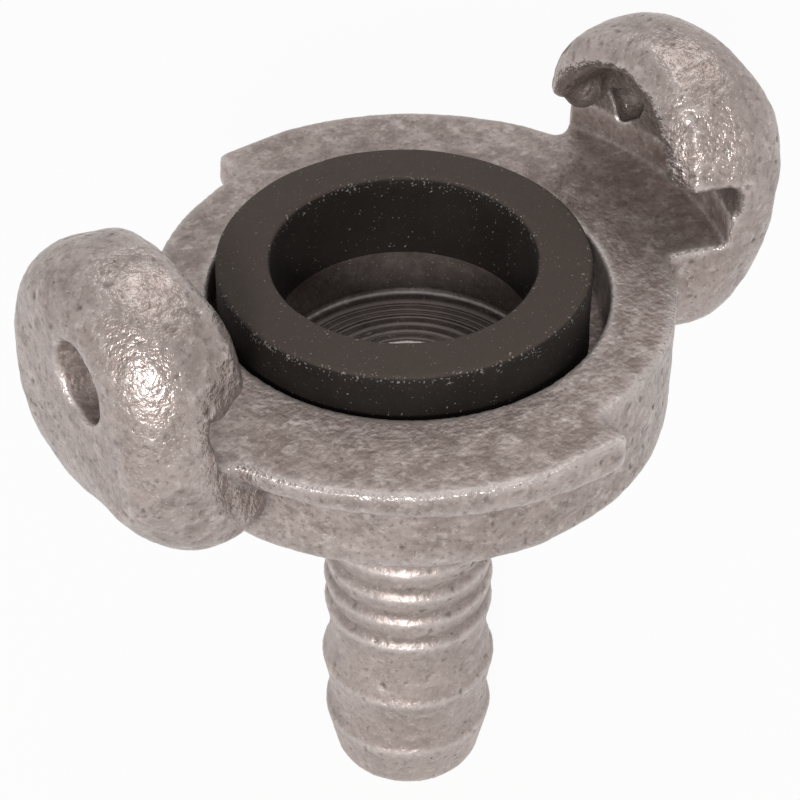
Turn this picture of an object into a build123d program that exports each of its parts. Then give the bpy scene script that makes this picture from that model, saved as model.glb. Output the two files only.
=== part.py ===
from build123d import *
import math
import os

# Two-claw quarter-turn hose coupling half, standing on its hose tail.
# Z is the flow axis, X runs through the two claws, the origin is the centre of the tail's end face.
# Heights named *_Z are above that end face. The body has two-fold symmetry about Z.

# ---- overall heights ----
FACE_Z = 51.4  # turned sealing face
DRUM_DEPTH = 10.8  # face to the underside of the drum
CLEAR_ABOVE = 27.0  # cuts that leave a claw through its top end this far above the face

# ---- drum, hub and lips ----
DRUM_R = 20.7
DRUM_EDGE = 0.6  # broken lower edge
FACE_EDGE = 0.5  # broken upper edge, between the lips
HUB_R = 9.6  # where the hub cone reaches the neck
HUB_Z = 31.6
LIP_R = 24.3  # at the claw
LIP_END_R = 23.8  # at the free end, a little less for lead-in
LIP_ROOT_R = 18.0
LIP_STOCK = 0.5  # turned off with the face
LIP_START, LIP_END = 18.0, 97.0  # degrees from the claw's middle
LIP_SIDE, LIP_END_SIDE = 1.3, 2.9  # height of the lip's outer edge at each end
LIP_ROOT, LIP_END_ROOT = 6.7, 3.7  # depth of its back face at the root, a ramp that pulls the halves together

# ---- claws ----
CLAW_X = 30.5  # flat outer faces, 61 over both claws
CLAW_TABS = (  # distance out, half width, rise above the face, half width and depth of the foot
    (14.0, 5.8, 13.0, 10.6, 10.8),
    (CLAW_X, 13.6, 14.4, 9.0, 7.6),
)
LEAN_RISE = 0.8  # the arm leans in below this height
CLAW_FOOT_X = 26.2
HOOK_R = 21.0  # 42 between the hooks, the usual claw spacing
HOOK_BEVEL = 1.8  # along the hook's upper inner edge
KNUCKLE_ROUND = 4.6  # all round the outer face
FOOT_CORNER_R = 6.5

# ---- slot under a hook ----
WALL_R = 25.9  # turned wall that the other half's lip runs along
WALL_HEIGHT = 2.8
CAST_WALL_R = 26.5
SLOT_HEIGHT = 5.4
CAVE_R = 7.5  # arched hollow above the slot
CAVE_Y, CAVE_RISE = 0.6, 3.7

# ---- locking hole through a claw ----
LOCK_HOLE_R = 3.0
LOCK_MOUTH = (30.4, 2.1, 6.3)  # on the outside, height above the face
LOCK_AIM = (26.0, 3.4, 5.4)  # on the slot side

# ---- seal seat, chamber and waterway ----
RECESS_R, RECESS_DEPTH = 15.75, 4.5
CHAMBER_R, CHAMBER_DEPTH = 11.9, 9.9
BORE_R = 4.8
BORE_EDGE = 0.6  # broken edge where the floor meets the bore

# ---- hose tail ----
TIP_R = 6.25
TIP_CHAMFER = 0.4
RIB_R, ROOT_R = 7.15, 6.72
RIB_PITCH, RIB_CREST = 2.62, 1.2
FIRST_RIB_Z = 16.7  # lowest of the small ribs
RIB_COUNT = 5
LOWER_BARB_R, LOWER_BARB_Z = 7.3, (4.3, 5.2)  # a barb's crest runs between two heights
UPPER_BARB_R, UPPER_BARB_Z = 7.35, (9.5, 12.3)
VALLEY_R, VALLEY_Z = 6.85, 7.2  # between the barbs

# ---- rubber seal ----
SEAL_R, SEAL_HOLE_R = 14.7, 10.35
SEAL_PROUD = 3.0
SEAL_SHIFT = (-0.33, 0.22)  # the loose ring lies against one side of its seat

DRUM_Z = FACE_Z - DRUM_DEPTH
LEAN_Z = FACE_Z + LEAN_RISE
LEAN_R = ((LEAN_Z - DRUM_Z) ** 2 + (CLAW_X - CLAW_FOOT_X) ** 2) / (2 * (CLAW_X - CLAW_FOOT_X))


def rib_line(bottom_z):
    """Section of one small rib of the hose tail, root to root."""
    Polyline(
        (ROOT_R, bottom_z),
        (RIB_R, bottom_z + 0.5 * (RIB_PITCH - RIB_CREST)),
        (RIB_R, bottom_z + 0.5 * (RIB_PITCH + RIB_CREST)),
        (ROOT_R, bottom_z + RIB_PITCH),
    )


def is_outer_rim(edge):
    """True on the edges round a claw's outer face, apart from the seam where it starts to lean."""
    middle = edge @ 0.5
    drop = max(LEAN_Z - middle.Z, 0)
    surface_x = CLAW_X - LEAN_R + math.sqrt(LEAN_R**2 - drop**2)
    return abs(middle.X - surface_x) < 0.02 and abs(middle.Z - LEAN_Z) > 0.01


def is_hook_top(edge):
    """True on the upper edge of the hook's inner face."""
    middle = edge @ 0.5
    return abs(math.hypot(middle.X, middle.Y) - HOOK_R) < 0.02 and middle.Z > FACE_Z + 2 * SLOT_HEIGHT


# ---- arched hollow above the turned wall, cut as deep as the cast wall of the slot ----
with BuildPart() as cave:
    with BuildSketch(Plane.YZ):
        with Locations((CAVE_Y, FACE_Z + CAVE_RISE)):
            Circle(CAVE_R)
    extrude(amount=CLAW_X)
    with BuildSketch(Plane.XY.offset(FACE_Z + WALL_HEIGHT)):
        Circle(CAST_WALL_R)
    extrude(amount=CLEAR_ABOVE, mode=Mode.INTERSECT)

# ---- one claw at +X, with its slot and hole ----
with BuildPart() as claw:
    # a round-topped tab that widens outwards and narrows towards its foot
    for x, half_width, rise, foot_half, foot_depth in CLAW_TABS:
        with BuildSketch(Plane.YZ.offset(x)) as tab_section:
            with BuildLine():
                spring_z, foot_z = FACE_Z + rise - half_width, FACE_Z - foot_depth
                ThreePointArc((-half_width, spring_z), (0, FACE_Z + rise), (half_width, spring_z))
                for side in (-1, 1):
                    TangentArc((side * half_width, spring_z), (side * foot_half, foot_z), tangent=(0, -1))
                Line((-foot_half, foot_z), (foot_half, foot_z))
            make_face()
            fillet(tab_section.vertices().group_by(Axis.Y)[0], FOOT_CORNER_R)
    loft()
    # seen along Y: upright outside, leaning in towards the foot
    with BuildSketch(Plane.XZ):
        with BuildLine():
            inner_x, top = CLAW_TABS[0][0], FACE_Z + CLEAR_ABOVE
            Polyline((inner_x, top), (CLAW_X, top), (CLAW_X, LEAN_Z))
            RadiusArc((CLAW_X, LEAN_Z), (CLAW_FOOT_X, DRUM_Z), LEAN_R)
            Polyline((CLAW_FOOT_X, DRUM_Z), (inner_x, DRUM_Z), (inner_x, top))
        make_face()
    extrude(amount=CLAW_X, both=True, mode=Mode.INTERSECT)
    # the knuckle is rounded all round its outer face
    fillet(claw.edges().filter_by(is_outer_rim), KNUCKLE_ROUND)
    # slot: a turned wall low down, a cast one above it, and the hook's inner face
    for radius, start, end in (
        (WALL_R, 0, WALL_HEIGHT),
        (CAST_WALL_R, WALL_HEIGHT, SLOT_HEIGHT),
        (HOOK_R, SLOT_HEIGHT, CLEAR_ABOVE),
    ):
        with BuildSketch(Plane.XY.offset(FACE_Z + start)):
            Circle(radius)
        extrude(amount=end - start, mode=Mode.SUBTRACT)
    chamfer(claw.edges().filter_by(is_hook_top), HOOK_BEVEL)
    add(cave.part, mode=Mode.SUBTRACT)
    # locking hole, drilled from outside into the hollow
    mouth = Vector(*LOCK_MOUTH) + (0, 0, FACE_Z)
    aim = Vector(*LOCK_AIM) + (0, 0, FACE_Z)
    with BuildSketch(Plane(origin=aim, z_dir=mouth - aim)):
        Circle(LOCK_HOLE_R)
    extrude(amount=3 * LOCK_HOLE_R, mode=Mode.SUBTRACT)

# ---- one lip: a sector of flange whose edge and back face ramp along its length ----
with BuildPart() as lip:
    with BuildLine() as lip_path:
        CenterArc((0, 0, FACE_Z), LIP_ROOT_R, LIP_START, LIP_END - LIP_START)
    for place, rim_r, side, root in (
        (0, LIP_R, LIP_SIDE, LIP_ROOT),
        (1, LIP_END_R, LIP_END_SIDE, LIP_END_ROOT),
    ):
        along = lip_path.edges()[0].tangent_at(place)
        outward = along.cross(Vector(0, 0, 1))
        with BuildSketch(Plane(origin=lip_path.edges()[0] @ place, x_dir=outward, z_dir=along)):
            with BuildLine():
                width = rim_r - LIP_ROOT_R
                # the section's second axis points down
                inner, outer = (0, -LIP_STOCK), (width, -LIP_STOCK)
                Polyline(inner, (0, root), (width, side), outer, inner)
            make_face()
    sweep(path=lip_path.line, multisection=True)

# ---- the casting ----
with BuildPart() as coupling_body:
    # drum, hub and ribbed hose tail turned about the flow axis
    with BuildSketch(Plane.XZ):
        with BuildLine():
            first_rib = FIRST_RIB_Z - RIB_PITCH / 2
            Polyline((0, 0), (TIP_R - TIP_CHAMFER, 0), (TIP_R, TIP_CHAMFER))
            lower_barb = [(LOWER_BARB_R, z) for z in LOWER_BARB_Z]
            upper_barb = [(UPPER_BARB_R, z) for z in UPPER_BARB_Z]
            Polyline((TIP_R, TIP_CHAMFER), *lower_barb, (VALLEY_R, VALLEY_Z), *upper_barb, (ROOT_R, first_rib))
            for index in range(RIB_COUNT):
                rib_line(first_rib + index * RIB_PITCH)
            neck_z = first_rib + RIB_COUNT * RIB_PITCH
            Polyline((ROOT_R, neck_z), (HUB_R, HUB_Z), (DRUM_R - DRUM_EDGE, DRUM_Z))
            Polyline((DRUM_R - DRUM_EDGE, DRUM_Z), (DRUM_R, DRUM_Z + DRUM_EDGE), (DRUM_R, FACE_Z - FACE_EDGE))
            Polyline((DRUM_R, FACE_Z - FACE_EDGE), (DRUM_R - FACE_EDGE, FACE_Z), (0, FACE_Z), (0, 0))
        make_face()
    revolve(axis=Axis.Z)
    with PolarLocations(0, 2):
        add(lip.part)
    split(bisect_by=Plane.XY.offset(FACE_Z), keep=Keep.BOTTOM)
    with PolarLocations(0, 2):
        add(claw.part)
    # seal seat, chamber and waterway
    with BuildSketch(Plane.XZ):
        with BuildLine():
            seat_z, floor_z = FACE_Z - RECESS_DEPTH, FACE_Z - CHAMBER_DEPTH
            Polyline((0, FACE_Z), (RECESS_R, FACE_Z), (RECESS_R, seat_z), (CHAMBER_R, seat_z))
            Polyline((CHAMBER_R, seat_z), (CHAMBER_R, floor_z), (BORE_R + BORE_EDGE, floor_z))
            Polyline((BORE_R + BORE_EDGE, floor_z), (BORE_R, floor_z - BORE_EDGE), (BORE_R, 0))
            Polyline((BORE_R, 0), (0, 0), (0, FACE_Z))
        make_face()
    revolve(axis=Axis.Z, mode=Mode.SUBTRACT)

# ---- rubber seal, loose in its seat ----
with BuildPart() as seal_ring:
    with BuildSketch(Plane.XY.offset(FACE_Z - RECESS_DEPTH)):
        with Locations(SEAL_SHIFT):
            Circle(SEAL_R)
            Circle(SEAL_HOLE_R, mode=Mode.SUBTRACT)
    extrude(amount=RECESS_DEPTH + SEAL_PROUD)

os.makedirs("parts", exist_ok=True)
for name, piece in (("coupling_body", coupling_body), ("seal_ring", seal_ring)):
    piece.part.label = name
    export_step(piece.part, f"parts/{name}.step")
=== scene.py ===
import math

import bmesh
import bpy
from mathutils import Matrix, Vector, noise


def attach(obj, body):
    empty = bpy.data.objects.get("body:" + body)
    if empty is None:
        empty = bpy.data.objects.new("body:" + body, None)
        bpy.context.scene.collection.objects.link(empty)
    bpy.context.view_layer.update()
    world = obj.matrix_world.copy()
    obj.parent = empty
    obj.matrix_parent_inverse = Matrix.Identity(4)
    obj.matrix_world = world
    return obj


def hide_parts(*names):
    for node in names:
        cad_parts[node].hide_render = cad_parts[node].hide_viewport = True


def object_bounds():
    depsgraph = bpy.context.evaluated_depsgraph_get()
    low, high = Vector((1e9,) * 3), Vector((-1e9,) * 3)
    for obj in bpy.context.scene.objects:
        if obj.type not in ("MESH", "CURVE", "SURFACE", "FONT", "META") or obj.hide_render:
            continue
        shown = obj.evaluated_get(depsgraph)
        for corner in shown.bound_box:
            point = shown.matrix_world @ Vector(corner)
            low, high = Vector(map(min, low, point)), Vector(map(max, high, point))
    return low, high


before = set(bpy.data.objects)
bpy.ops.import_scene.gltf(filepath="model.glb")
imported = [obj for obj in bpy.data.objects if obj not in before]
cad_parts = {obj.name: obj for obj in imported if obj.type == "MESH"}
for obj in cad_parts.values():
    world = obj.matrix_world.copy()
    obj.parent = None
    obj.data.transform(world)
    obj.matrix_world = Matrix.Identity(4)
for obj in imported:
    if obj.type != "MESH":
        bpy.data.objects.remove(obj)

cad_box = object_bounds()

# Both pieces are modelled in millimetres, in the CAD's own place, and scaled to metres at the end.
MM = 0.001

# ---- sizes of the casting: radii and heights above the tip of the hose tail ----
FACE_Z = 51.4  # turned sealing face
WALL_R, WALL_HEIGHT = 25.9, 2.8  # turned wall of the slot under each hook
SEAT_R, SEAT_DEPTH = 15.75, 4.5  # seat of the seal, below the face
CHAMBER_R, CHAMBER_DEPTH = 11.9, 9.9
BORE_R, BORE_EDGE = 4.8, 0.6
RING_WIDTH, RING_DEPTH = 1.0, 0.16  # tool rings on the chamber's floor

# a claw's locking hole runs from its mouth towards the aim, and breaks out into the hollow beside it
LOCK_R, LOCK_MOUTH, LOCK_AIM = 3.0, Vector((30.4, 2.1, 57.7)), Vector((26.0, 3.4, 56.8))
LOCK_END = LOCK_MOUTH + (LOCK_AIM - LOCK_MOUTH) * 0.55
LOCK_SKIN_X = 27.5  # the drilled skin lies beyond this
BREAK_R, BREAK_OUT = 1.5, Vector((25.6, 6.5, 54.9))

# the hollow under a hook, and how far out its back wall lies
HOLLOW_R, HOLLOW_Y, HOLLOW_Z, HOLLOW_BACK_R = 7.6, 0.6, 55.1, 26.5
HOLLOW_TOP, HOLLOW_NEAR_R, HOLLOW_FAR_R = 62.0, 22.3, 29.0  # its rough skin lies within these

# hose tail: (radius, height) up to the narrow barbs, then the height of each narrow barb's edge
TIP_Z, TIP_R = 0.05, 6.38
WIDE_BARBS = [
    (TIP_R - 0.12, TIP_Z), (TIP_R, TIP_Z + 0.12),
    (7.42, 4.9), (7.1, 5.4), (6.98, 6.2), (6.95, 7.2), (7.1, 8.6), (7.52, 10.9),
    (7.62, 11.2), (7.3, 11.7), (7.08, 12.7), (6.85, 14.0), (6.8, 14.7),
]
NARROW_BARBS, BARB_R, BARB_ROOT_R = (18.0, 20.9, 23.7, 26.6), 7.32, 6.78
TAIL_TOP = 29.5
BAR_R = 7.7  # plain bar that the tail is cut from

SEAL_R, SEAL_HOLE_R, SEAL_PROUD, SEAL_EDGE = 14.7, 10.35, 3.0, 0.45
SEAL_SHIFT = Vector((-0.33, 0.22, 0.0))  # it lies against one side of its seat

# ---- how the casting departs from the plain solid ----
STOCK = 1.2  # left on the face for turning
MARGIN = 0.02  # kept inside the solid's own box
# places where the casting is fuller or flatter: centre, reach, height
SWELLS = [(Vector(centre), reach, height) for centre, reach, height in (
    # inner shoulders of the hooks
    ((22.5, 7.5, 61.0), 2.8, 0.6), ((-22.5, -7.5, 61.0), 2.8, 0.5),
    # outer shoulders of the hooks
    ((29.6, -7.0, 60.0), 3.0, 0.55), ((-30.0, 6.5, 57.0), 3.0, -0.2),
    # inner corners of the claws' feet
    ((22.8, 8.2, 44.4), 2.4, 1.0), ((22.8, -8.2, 44.4), 2.4, 1.0),
    ((-22.8, 8.2, 44.4), 2.4, 1.0), ((-22.6, -8.0, 44.2), 2.6, 1.2),
    # outer sides of the feet
    ((25.5, -9.8, 46.5), 1.6, -0.4), ((-28.6, 2.0, 44.6), 3.2, 0.5), ((-28.8, -7.5, 45.8), 2.2, -0.5),
    ((-29.8, -7.0, 49.8), 2.4, 0.9), ((30.2, 4.5, 49.5), 2.6, 0.3),
    # thin side of the drum
    ((-9.2, 17.8, 49.0), 4.0, -0.45), ((-14.0, 14.5, 49.0), 3.0, -0.4),
)]
CORNER_PASSES, NOSE_PASSES, EDGE_PASSES = 5, 14, 4  # how often each is softened
NOSE_Z, NOSE_R = FACE_Z + 6.5, 24.5  # the hooks' noses lie above and inside these
CAST_GRAIN, FINE_GRAIN = 0.3, 0.26  # face size before and after machining
MOST_TRIANGLES = 190000


# ---- modelling helpers ----


def made(bm, name, materials=()):
    """The finished shape as an object in the scene."""
    mesh = bpy.data.meshes.new(name)
    bm.to_mesh(mesh)
    bm.free()
    for material in materials:
        mesh.materials.append(material)
    piece = bpy.data.objects.new(name, mesh)
    bpy.context.scene.collection.objects.link(piece)
    return piece


def turn(section, steps):
    """A closed shape turned about Z from (radius, height) points that meet, or start and end on the axis."""
    bm = bmesh.new()
    points = [bm.verts.new((radius, 0, height)) for radius, height in section]
    edges = [bm.edges.new(pair) for pair in zip(points, points[1:])]
    bmesh.ops.spin(bm, geom=points + edges, axis=(0, 0, 1), cent=(0, 0, 0), angle=2 * math.pi,
                   steps=steps, use_merge=True)
    bmesh.ops.remove_doubles(bm, verts=bm.verts, dist=1e-4)
    bmesh.ops.recalc_face_normals(bm, faces=bm.faces)
    return bm


def settle(piece):
    """Applies the piece's modifiers to its mesh."""
    bpy.context.view_layer.update()
    solid = bpy.data.meshes.new_from_object(piece.evaluated_get(bpy.context.evaluated_depsgraph_get()))
    piece.modifiers.clear()
    piece.data = solid


def cut(piece, tool):
    """Takes the tool's shape out of the piece, and puts the tool away."""
    boolean = piece.modifiers.new("machining", "BOOLEAN")
    boolean.operation, boolean.object, boolean.solver = "DIFFERENCE", tool, "EXACT"
    settle(piece)
    bpy.data.objects.remove(tool)


def regrain(piece, size):
    """Rebuilds the piece's mesh from even faces of this size."""
    remesh = piece.modifiers.new("regrain", "REMESH")
    remesh.mode, remesh.voxel_size = "VOXEL", size
    settle(piece)


def soften(bm, verts, passes):
    """Rounds off corners a little more with every pass."""
    for _ in range(passes):
        bmesh.ops.smooth_vert(bm, verts=verts, factor=0.5, use_axis_x=True, use_axis_y=True, use_axis_z=True)


def clamped(value, low=0.0, high=1.0):
    """The value kept between two limits."""
    return min(max(value, low), high)


def from_axis(place):
    """How far a place lies from the middle line of the coupling."""
    return math.hypot(place.x, place.y)


def paint(piece, name, values):
    """Keeps one value for each point on the mesh, for the finish to read."""
    piece.data.attributes.new(name, "FLOAT", "POINT").data.foreach_set("value", values)


def finished(piece, degrees):
    """Smooth shading with sharp edges where faces meet at more than this angle, and the size in metres."""
    bm = bmesh.new()
    bm.from_mesh(piece.data)
    for facet in bm.faces:
        facet.smooth = True
    for edge in bm.edges:
        edge.smooth = edge.calc_face_angle(0) < math.radians(degrees)
    bmesh.ops.scale(bm, vec=(MM,) * 3, verts=bm.verts)
    bm.to_mesh(piece.data)
    bm.free()


# ---- shader helpers ----


class Socket:
    """A shader socket that adds and multiplies like a number."""

    def __init__(self, finish, source):
        self.finish, self.source = finish, source

    def math(self, operation, first, second):
        return self.finish.node("ShaderNodeMath", {"operation": operation}, {0: first, 1: second})

    def __add__(self, other):
        return self.math("ADD", self, other)

    def __sub__(self, other):
        return self.math("SUBTRACT", self, other)

    def __rsub__(self, other):
        return self.math("SUBTRACT", other, self)

    def __mul__(self, other):
        return self.math("MULTIPLY", self, other)

    __radd__, __rmul__ = __add__, __mul__

    def between(self, low, high):
        """0 below low, 1 above high, with a soft step from one to the other."""
        return self.finish.node("ShaderNodeMapRange", {"interpolation_type": "SMOOTHSTEP"},
                                {"Value": self, "From Min": low, "From Max": high})


class Finish:
    """The nodes of a material, or of the world."""

    def __init__(self, owner):
        self.owner = owner
        owner.use_nodes = True
        self.tree = owner.node_tree
        self.tree.nodes.clear()

    def node(self, kind, settings=None, inputs=None, output=0):
        """A node of this kind: its settings, then a value or a link for each socket. Returns one output."""
        node = self.tree.nodes.new(kind)
        for key, setting in (settings or {}).items():
            setattr(node, key, setting)
        for key, entry in (inputs or {}).items():
            if isinstance(entry, Socket):
                self.tree.links.new(entry.source, node.inputs[key])
            else:
                node.inputs[key].default_value = entry
        return Socket(self, node.outputs[output]) if node.outputs else None

    def place(self):
        """Where a point lies on the piece."""
        return self.node("ShaderNodeTexCoord", output="Object")

    def grain(self, size, detail=3.0, roughness=0.5):
        """Noise whose lumps are about this many millimetres across."""
        return self.node("ShaderNodeTexNoise", None, {
            "Vector": self.place(), "Scale": 1 / (size * MM), "Detail": detail, "Roughness": roughness})

    def turning_rings(self, width):
        """Noise that only changes outwards from the coupling's middle line, as a lathe tool leaves it."""
        across = self.node("ShaderNodeVectorMath", {"operation": "MULTIPLY"}, {0: self.place(), 1: (1, 1, 0)})
        radius = self.node("ShaderNodeVectorMath", {"operation": "LENGTH"}, {0: across}, output="Value")
        return self.node("ShaderNodeTexNoise", {"noise_dimensions": "1D"}, {
            "W": radius, "Scale": 1 / (width * MM), "Detail": 2.0})

    def blend(self, share, first, second):
        """A colour between two colours."""
        return self.node("ShaderNodeMix", {"data_type": "RGBA"}, {
            0: share, 6: colour(first), 7: colour(second)}, output=2)

    def mask(self, name):
        """A value painted on the mesh."""
        return self.node("ShaderNodeAttribute", {"attribute_name": name}, output="Fac")

    def close(self, tone, roughness, metallic, specular, height, depth, strength):
        """Ends a material: depth is the relief's range in millimetres. Returns the material."""
        bump = self.node("ShaderNodeBump", None, {
            "Height": height, "Distance": depth * MM, "Strength": strength})
        shader = self.node("ShaderNodeBsdfPrincipled", None, {
            "Base Color": tone, "Roughness": roughness, "Metallic": metallic, "Normal": bump,
            "Specular IOR Level": specular})
        self.node("ShaderNodeOutputMaterial", None, {"Surface": shader})
        return self.owner

    def looked_at(self):
        """1 where the floor or the world is looked at, also in metal or glass, 0 where it lights."""
        straight, glossy, through = (self.node("ShaderNodeLightPath", output=ray) for ray in (
            "Is Camera Ray", "Is Glossy Ray", "Is Transmission Ray"))
        return straight + glossy + through


def colour(entry):
    """A colour socket as it is, or a red, green and blue triple with its alpha."""
    return entry if isinstance(entry, Socket) else (*entry, 1.0)


# ---- finishes ----


def zinc_skin():
    """Dull zinc over sand-cast iron: mottled, grainy and sparkling, smoother and browner where turned, with
    painted shade, edge highlights, reflections and glints.
    """
    skin = Finish(bpy.data.materials.new("zinc_cast_skin"))
    turned, chamber, tail, shaded_cave, hollow, wear_and_edge_highlight = (
        skin.mask(name) for name in ("turned", "chamber", "tail", "shaded_cave", "hollow", "wear_and_edge_highlight"))
    cast = 1 - turned
    rings = skin.turning_rings(0.5)
    cloud, blotch, streak = skin.grain(8.0, 4.0, 0.6), skin.grain(1.9, 5.0, 0.65), skin.grain(1.0, 3.0, 0.6)
    sand, frost_and_glints = skin.grain(0.45, 2.0), skin.grain(0.2, 1.0)
    pits = skin.grain(0.6).between(0.66, 0.74)
    # zinc in clouds, darker blotches, browner where turned, pale streaks and dark grains
    tone = skin.blend(cloud.between(0.3, 0.7), (0.33, 0.265, 0.243), (0.44, 0.365, 0.34))
    tone = skin.blend(blotch.between(0.45, 0.72) * 0.7, tone, (0.2, 0.158, 0.14))
    tone = skin.blend(turned * blotch.between(0.35, 0.6) * 0.5, tone, (0.2, 0.148, 0.128))
    tone = skin.blend(streak.between(0.52, 0.72) * 0.55, tone, (0.62, 0.54, 0.505))
    tone = skin.blend((1 - sand).between(0.52, 0.72) * 0.5, tone, (0.15, 0.117, 0.103))
    # paler tail, worn edges with a painted edge highlight, painted shade under the hooks and in creases, and
    # dark pits
    tone = skin.blend(tail * 0.3, tone, (0.5, 0.425, 0.398))
    # edges lighter: wear, and a painted edge highlight
    tone = skin.blend(wear_and_edge_highlight * 0.75, tone, (0.72, 0.66, 0.63))
    # painted shade darkens the rough inside of the hollow under each hook
    tone = skin.blend(shaded_cave * 0.55, tone, (0.09, 0.07, 0.06))
    # painted shade darkens the creases and other hollows
    tone = skin.blend(hollow * 0.8, tone, (0.06, 0.046, 0.04))
    tone = skin.blend(pits * cast * 0.6, tone, (0.085, 0.066, 0.057))
    # painted reflections on the tool rings over a painted shadow in the chamber, and pale grains with painted
    # glints all over
    ring_sheen_and_shade = skin.blend(rings.between(0.45, 0.58), (0.06, 0.046, 0.04), (0.75, 0.67, 0.63))
    tone = skin.blend(chamber * 0.65, tone, ring_sheen_and_shade)
    # pale grains with painted glints
    tone = skin.blend(frost_and_glints.between(0.68, 0.76) * 0.5, tone, (0.8, 0.75, 0.71))
    roughness = 0.25 + blotch * 0.15 + pits * 0.2 + turned * 0.1 + tail * 0.12 + shaded_cave * 0.35 - wear_and_edge_highlight * 0.06
    metallic = 0.86 - pits * 0.5 - hollow * 0.5 - turned * 0.3
    cast_relief = sand * 0.7 + frost_and_glints * 0.25 + streak * 0.6 - pits * 0.1
    turned_relief = rings * 0.09 + sand * 0.4 + streak * 0.4
    relief = cast_relief * cast * (1 - tail * 0.6) + turned_relief * turned
    return skin.close(tone, roughness, metallic, 0.5, relief, 0.19, 1.0)


def black_rubber():
    """Aged black rubber: matt, with pale dust caught along its edges."""
    rubber = Finish(bpy.data.materials.new("black_rubber"))
    cloud, wear = rubber.grain(5.0, 4.0, 0.6), rubber.grain(0.9, 4.0, 0.7)
    dust, fine_dust = rubber.grain(0.2, 1.0), rubber.grain(0.12, 1.0)
    edge, top = rubber.mask("edge"), rubber.mask("top")
    tone = rubber.blend(cloud.between(0.3, 0.7), (0.009, 0.006, 0.0045), (0.016, 0.012, 0.01))
    tone = rubber.blend(top, tone, (0.058, 0.043, 0.035))
    specks = dust.between(0.72, 0.78) + fine_dust.between(0.73, 0.79) * 0.5
    edge_dust = (dust * 0.6 + wear * 0.4 + edge * 0.11).between(0.665, 0.72)
    tone = rubber.blend(specks * 0.45, tone, (0.42, 0.38, 0.36))
    tone = rubber.blend(edge_dust * 0.6, tone, (0.34, 0.31, 0.29))
    roughness = 0.62 + wear * 0.25
    relief = wear * 0.6 + dust * 0.4
    return rubber.close(tone, roughness, 0.0, 0.3, relief, 0.08, 0.6)


# ---- the casting before it is machined ----


def cad_copy(node):
    """A merged copy of a CAD node's mesh, in millimetres."""
    bm = bmesh.new()
    bm.from_mesh(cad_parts[node].data)
    bmesh.ops.remove_doubles(bm, verts=bm.verts, dist=1e-6)
    bmesh.ops.scale(bm, vec=(1 / MM,) * 3, verts=bm.verts)
    return bm


def face_stock():
    """Extra metal above the face, over the drum and the lips, so the face is turned from the casting."""
    bm = cad_copy("coupling_body")
    level = bmesh.ops.bisect_plane(bm, geom=bm.verts[:] + bm.edges[:] + bm.faces[:], dist=1e-5,
                                   plane_co=(0, 0, FACE_Z - STOCK), plane_no=(0, 0, 1), clear_outer=True)
    outline = {part for part in level["geom_cut"] if isinstance(part, bmesh.types.BMEdge)}
    bmesh.ops.delete(bm, geom=bm.faces[:], context="FACES_ONLY")
    bmesh.ops.delete(bm, geom=[edge for edge in bm.edges if edge not in outline], context="EDGES")
    bmesh.ops.delete(bm, geom=[vert for vert in bm.verts if not vert.link_edges], context="VERTS")
    bmesh.ops.triangle_fill(bm, edges=bm.edges[:], use_beauty=True)
    raised = bmesh.ops.extrude_face_region(bm, geom=bm.faces[:], use_keep_orig=True)
    tops = [part for part in raised["geom"] if isinstance(part, bmesh.types.BMVert)]
    bmesh.ops.translate(bm, vec=(0, 0, 2 * STOCK), verts=tops)
    bmesh.ops.recalc_face_normals(bm, faces=bm.faces)
    return bm


def core_plug():
    """Metal that fills the seat, the chamber and the bore, lapping a little into their walls."""
    lap = 0.6
    return turn([(0, TIP_Z), (BORE_R + 0.5, TIP_Z), (BORE_R + 0.5, 40.0), (CHAMBER_R + lap, 41.2),
                 (CHAMBER_R + lap, 46.0), (SEAT_R + lap, 46.5), (SEAT_R + lap, FACE_Z + STOCK),
                 (0, FACE_Z + STOCK)], 96)


def tail_bar():
    """A plain bar that the hose tail is cut from."""
    return turn([(0, TIP_Z), (BAR_R, TIP_Z), (BAR_R, TAIL_TOP - 1.5), (0, TAIL_TOP - 1.5)], 120)


def hook_end(side):
    """The rounded lobe at the leading end of a hook."""
    bm = bmesh.new()
    bmesh.ops.create_icosphere(bm, subdivisions=3, radius=1.5)
    bmesh.ops.scale(bm, vec=(1.0, 1.1, 1.2), verts=bm.verts)
    bmesh.ops.translate(bm, vec=(23.2, 8.1, 56.7), verts=bm.verts)
    bmesh.ops.rotate(bm, matrix=Matrix.Rotation(side * math.pi, 3, "Z"), verts=bm.verts)
    return bm


def hollow_back(side):
    """The back wall of the hollow under a hook, a little outside the turned wall."""
    bm = bmesh.new()
    lying = Matrix.Translation((28.0, HOLLOW_Y, HOLLOW_Z)) @ Matrix.Rotation(math.pi / 2, 4, "Y")
    bmesh.ops.create_cone(bm, cap_ends=True, cap_tris=True, segments=64, radius1=HOLLOW_R, radius2=HOLLOW_R,
                          depth=3.0, matrix=lying)
    for vert in bm.verts:
        if vert.co.x < 27:
            vert.co.x = math.sqrt(HOLLOW_BACK_R ** 2 - vert.co.y ** 2)
    bmesh.ops.rotate(bm, matrix=Matrix.Rotation(side * math.pi, 3, "Z"), verts=bm.verts)
    return bm


def rough_casting():
    """The casting as it is poured: filled bores, stock on its face, a plain bar for its tail."""
    bm = cad_copy("coupling_body")
    claw_ends = [hook_end(0), hook_end(1), hollow_back(0), hollow_back(1)]
    for extra in [core_plug(), face_stock(), tail_bar()] + claw_ends:
        mesh = bpy.data.meshes.new("extra")
        extra.to_mesh(mesh)
        extra.free()
        bm.from_mesh(mesh)
        bpy.data.meshes.remove(mesh)
    casting = made(bm, "casting")
    regrain(casting, CAST_GRAIN)
    return casting


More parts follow.
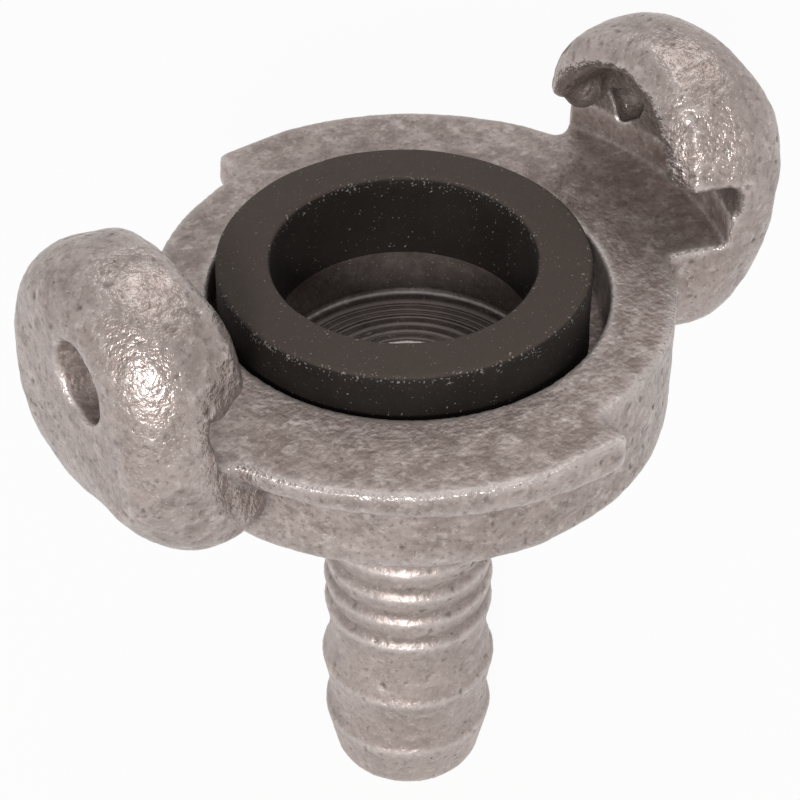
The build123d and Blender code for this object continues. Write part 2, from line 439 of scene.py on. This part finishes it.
def cast_shape(casting):
    """Softens the corners as a sand mould does, and makes the claws and the drum a little uneven."""
    bm = bmesh.new()
    bm.from_mesh(casting.data)
    soften(bm, [vert for vert in bm.verts if vert.co.z > TAIL_TOP], CORNER_PASSES)
    soften(bm, [vert for vert in bm.verts if vert.co.z > NOSE_Z and from_axis(vert.co) < NOSE_R], NOSE_PASSES)
    bm.normal_update()
    box = [(low / MM + MARGIN, high / MM - MARGIN) for low, high in zip(*cad_box)]
    for vert in bm.verts:
        wave, lump = noise.fractal(vert.co * 0.2, 1.0, 2.0, 3), noise.noise(vert.co * 0.8)
        unevenness = 1.0 if vert.co.z > TAIL_TOP else 0.4
        rise = unevenness * (0.10 * wave + 0.04 * lump + 0.05)
        if vert.co.z > TAIL_TOP + 6:  # the drum and its lips, and less towards the claws
            rise += 0.16 * clamped((23 - abs(vert.co.x)) / 3)
        for centre, reach, height in SWELLS:
            apart = (vert.co - centre).length_squared / (2 * reach ** 2)
            if apart < 8:
                rise += height * math.exp(-apart)
        vert.co += vert.normal * rise
        vert.co = Vector([clamped(part, low, high) for part, (low, high) in zip(vert.co, box)])
    bm.to_mesh(casting.data)
    bm.free()


# ---- machining ----


def tail_tool():
    """What is taken off the bar around the hose tail: two wide barbs stay, then a row of narrow ones."""
    section = WIDE_BARBS[:]
    for edge_z in NARROW_BARBS:
        section += [(6.95, edge_z - 1.6), (BARB_R, edge_z), (BARB_R - 0.42, edge_z + 0.35),
                    (BARB_ROOT_R, edge_z + 0.8)]
    section.append((BARB_ROOT_R, TAIL_TOP - 1.2))
    outside, below = BAR_R + 1.5, -1.0
    ring = [(outside, below), (section[0][0], below)] + section + [(outside, section[-1][1]), (outside, below)]
    return made(turn(ring, 120), "tail_tool")


def lathe_tool():
    """What the lathe takes out: the face, the seal's seat, the chamber with its tool rings, and the bore."""
    seat_z, floor_z, below = FACE_Z - SEAT_DEPTH, FACE_Z - CHAMBER_DEPTH, -2.0
    rings, radius = [], BORE_R + BORE_EDGE
    while radius + RING_WIDTH < CHAMBER_R - 0.6:
        rings += [(radius, floor_z), (radius + RING_WIDTH * 0.7, floor_z - RING_DEPTH)]
        radius += RING_WIDTH
    section = ([(0, below), (BORE_R, below), (BORE_R, floor_z - BORE_EDGE)] + rings
               + [(CHAMBER_R - 0.5, floor_z), (CHAMBER_R, floor_z + 0.4), (CHAMBER_R, seat_z),
                  (SEAT_R, seat_z), (SEAT_R, FACE_Z), (WALL_R, FACE_Z), (WALL_R, FACE_Z + WALL_HEIGHT),
                  (0, FACE_Z + WALL_HEIGHT)])
    return made(turn(section, 180), "lathe_tool")


def drill(side, start, end, radius, beyond=0.0):
    """The drill for a round hole in a claw, between two places on the +X claw and beyond the second.

    side: 0 for the +X claw, 1 for the other.
    """
    length = (end - start).length + beyond
    bm = turn([(0, 0), (radius, 0), (radius, length), (0, length)], 96)
    stand = Matrix.Translation(start) @ (end - start).to_track_quat("Z", "Y").to_matrix().to_4x4()
    bmesh.ops.transform(bm, matrix=Matrix.Rotation(side * math.pi, 4, "Z") @ stand, verts=bm.verts)
    return made(bm, "drill")


def machined(place, normal):
    """True where the lathe or the drill has cut, at this place on the finished casting."""
    radius, near = from_axis(place), 0.2
    face = abs(place.z - FACE_Z) < near and radius < WALL_R + near and normal.z > 0.7
    inside = radius < SEAT_R + near and FACE_Z - CHAMBER_DEPTH - 2 < place.z < FACE_Z + near
    wall = abs(radius - WALL_R) < near and FACE_Z - near < place.z < FACE_Z + WALL_HEIGHT + near
    on_claw = place if place.x > 0 else Vector((-place.x, -place.y, place.z))
    off_hole = (on_claw - LOCK_MOUTH).cross((LOCK_MOUTH - LOCK_AIM).normalized()).length
    hole = off_hole < LOCK_R + near and on_claw.x > LOCK_SKIN_X and place.z > FACE_Z
    bore = radius < BORE_R + near
    return face or inside or wall or hole or bore


def in_cave(place, normal):
    """True on the rough inside of the hollow under a hook, where its shade is painted."""
    radius = from_axis(place)
    inward = (normal.x * place.x + normal.y * place.y) / max(radius, 1.0) < -0.2 or normal.z < -0.2
    return (FACE_Z + WALL_HEIGHT < place.z < HOLLOW_TOP and HOLLOW_NEAR_R < radius < HOLLOW_FAR_R
            and inward)


def in_chamber(place):
    """True on the floor and the wall of the chamber below the seal."""
    return (FACE_Z - CHAMBER_DEPTH - 1.5 < place.z < FACE_Z - SEAT_DEPTH
            and from_axis(place) < CHAMBER_R + 0.3)


def finish_skin(casting):
    """Breaks the machined edges, roughens the skin, and marks each point's finish on the mesh, with the
    creases, hollows and edges where painted shade and painted highlight go.
    """
    bm = bmesh.new()
    bm.from_mesh(casting.data)
    soften(bm, bm.verts, 1)
    soften(bm, [vert for vert in bm.verts if abs(vert.co.z - FACE_Z) < 0.4
                and SEAT_R + 1 < from_axis(vert.co) < WALL_R - 0.6], EDGE_PASSES)
    bm.normal_update()
    cut_places = [machined(vert.co, vert.normal) for vert in bm.verts]
    for vert, smooth in zip(bm.verts, cut_places):
        grit = noise.noise(vert.co * 2.6)
        pit = max(noise.noise(vert.co * 1.5 + Vector((31, 7, 3))) - 0.45, 0)
        depth = 0.012 + 0.012 * grit if smooth else 0.03 + 0.03 * grit + 0.4 * pit
        vert.co -= vert.normal * depth
    places, normals = [vert.co.copy() for vert in bm.verts], [vert.normal.copy() for vert in bm.verts]
    bm.to_mesh(casting.data)
    # softened once more, points in hollows would rise and points on edges would sink
    soften(bm, bm.verts, 8)
    lifts = [(vert.co - place).dot(normal) / 0.12 for vert, place, normal in zip(bm.verts, places, normals)]
    bm.free()
    paint(casting, "turned", [float(smooth) for smooth in cut_places])
    paint(casting, "tail", [float(place.z < TAIL_TOP) for place in places])
    # inside the hollows under the hooks, where painted shade goes
    paint(casting, "shaded_cave", [float(in_cave(place, normal)) for place, normal in zip(places, normals)])
    # the chamber, where its painted shadow and painted ring reflections go
    paint(casting, "chamber", [float(in_chamber(place)) for place in places])
    # creases and hollows, where painted shade goes
    paint(casting, "hollow", [clamped(lift) for lift in lifts])
    # convex edges, where wear and a painted edge highlight go
    paint(casting, "wear_and_edge_highlight", [clamped(-lift) for lift in lifts])


def make_casting():
    """Pours, machines and finishes the casting."""
    casting = rough_casting()
    cut(casting, tail_tool())
    cast_shape(casting)
    cut(casting, lathe_tool())
    for side in (0, 1):
        cut(casting, drill(side, LOCK_END, LOCK_MOUTH, LOCK_R, beyond=2 * LOCK_R))
        cut(casting, drill(side, BREAK_OUT, LOCK_END + (LOCK_MOUTH - LOCK_END) * 0.3, BREAK_R))
    regrain(casting, FINE_GRAIN)
    finish_skin(casting)
    thin = casting.modifiers.new("thin", "DECIMATE")
    thin.ratio = min(1.0, MOST_TRIANGLES / (2 * len(casting.data.polygons)))
    settle(casting)
    finished(casting, 80)
    casting.data.materials.clear()
    casting.data.materials.append(zinc_skin())
    casting.name = "coupling_casting"
    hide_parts("coupling_body")
    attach(casting, "root")


# ---- the seal ----


def quarter_round(radius, height, start):
    """Points of a soft edge about this centre, clockwise from the start angle."""
    angles = [start - step * math.pi / 8 for step in range(5)]
    return [(radius + SEAL_EDGE * math.cos(angle), height + SEAL_EDGE * math.sin(angle)) for angle in angles]


def make_seal():
    """A moulded rubber ring with soft upper edges, lying against one side of its seat."""
    seat_z, top_z = FACE_Z - SEAT_DEPTH, FACE_Z + SEAL_PROUD
    edge_z, width = top_z - SEAL_EDGE, SEAL_R - SEAL_HOLE_R - 2 * SEAL_EDGE
    levels = [edge_z - step for step in range(1, 7)]
    section = (quarter_round(SEAL_HOLE_R + SEAL_EDGE, edge_z, math.pi)
               + [(SEAL_HOLE_R + SEAL_EDGE + width * step / 6, top_z) for step in range(1, 6)]
               + quarter_round(SEAL_R - SEAL_EDGE, edge_z, math.pi / 2)
               + [(SEAL_R, level) for level in levels] + [(SEAL_R, seat_z), (SEAL_HOLE_R, seat_z)]
               + [(SEAL_HOLE_R, level) for level in reversed(levels)])
    bm = turn(section + section[:1], 192)
    bmesh.ops.translate(bm, vec=SEAL_SHIFT, verts=bm.verts)
    bm.normal_update()
    for vert in bm.verts:
        if vert.co.z > seat_z + 0.1:  # the rubber has shrunk unevenly, but still lies flat
            vert.co -= vert.normal * 0.12 * (0.5 + 0.5 * noise.fractal(vert.co * 0.25, 1.0, 2.0, 2))
    seal = made(bm, "seal", [black_rubber()])
    points = seal.data.vertices
    paint(seal, "top", [clamped((point.normal.z - 0.4) / 0.4) for point in points])
    rims = [min(abs(from_axis(point.co - SEAL_SHIFT) - radius) for radius in (SEAL_R, SEAL_HOLE_R))
            for point in points]
    paint(seal, "edge", [max(1 - rim / 0.9, 0) * (point.co.z > top_z - 1) for rim, point in zip(rims, points)])
    finished(seal, 60)
    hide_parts("seal_ring")
    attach(seal, "root")


# ---- floor, light and camera ----


def make_floor():
    """A plain pale floor that looks white and keeps a faint shadow."""
    bm = bmesh.new()
    bmesh.ops.create_grid(bm, x_segments=1, y_segments=1, size=3.0)
    pale = Finish(bpy.data.materials.new("pale_floor"))
    matt = pale.node("ShaderNodeBsdfDiffuse", None, {"Color": (0.9, 0.9, 0.9, 1.0)})
    white = pale.node("ShaderNodeEmission", None, {"Color": (1.0, 1.0, 1.0, 1.0), "Strength": 1.0})
    surface = pale.node("ShaderNodeMixShader", None, {0: pale.looked_at() * 0.93, 1: matt, 2: white})
    pale.node("ShaderNodeOutputMaterial", None, {"Surface": surface})
    made(bm, "floor", [pale.owner])


def make_surroundings():
    """A pale studio all round: soft light on the object, brighter where it is looked at."""
    studio = Finish(bpy.data.worlds.new("studio"))
    bpy.context.scene.world = studio.owner
    soft, bright = (studio.node("ShaderNodeBackground", None, {"Strength": strength})
                    for strength in (0.5, 1.0))
    surface = studio.node("ShaderNodeMixShader", None, {0: studio.looked_at(), 1: soft, 2: bright})
    studio.node("ShaderNodeOutputWorld", None, {"Surface": surface})


def make_lamp(name, azimuth, elevation, distance, size, power):
    """A round lamp on the object: two angles in degrees, distance and size in metres, power in watts."""
    lamp = bpy.data.lights.new(name, "AREA")
    lamp.shape, lamp.size, lamp.energy = "DISK", size, power
    holder = bpy.data.objects.new(name, lamp)
    bpy.context.scene.collection.objects.link(holder)
    flat = math.cos(math.radians(elevation))
    toward = Vector((flat * math.cos(math.radians(azimuth)), flat * math.sin(math.radians(azimuth)),
                     math.sin(math.radians(elevation))))
    holder.location = Vector((0, 0, 42.0)) * MM + toward * distance
    holder.rotation_euler = toward.to_track_quat("Z", "Y").to_euler()


def make_camera():
    """A long lens, looking down on the claws and the face."""
    lens = bpy.data.cameras.new("camera")
    lens.lens, lens.sensor_width = 115.45, 36.0
    lens.clip_start = 0.01
    camera = bpy.data.objects.new("camera", lens)
    bpy.context.scene.collection.objects.link(camera)
    camera.location = Vector((-91.15, -129.25, 175.22)) * MM
    aim = Vector((-0.579, 0.404, 39.68)) * MM
    camera.rotation_euler = (camera.location - aim).to_track_quat("Z", "Y").to_euler()
    bpy.context.scene.camera = camera


make_camera()
make_surroundings()
make_lamp("key", azimuth=-130, elevation=27, distance=0.7, size=0.11, power=2.7)
make_lamp("top", azimuth=40, elevation=70, distance=0.9, size=0.6, power=1.2)
make_lamp("front", azimuth=-150, elevation=12, distance=0.9, size=0.8, power=1.3)
make_floor()
make_casting()
make_seal()
bpy.context.scene.view_settings.view_transform = "Standard"
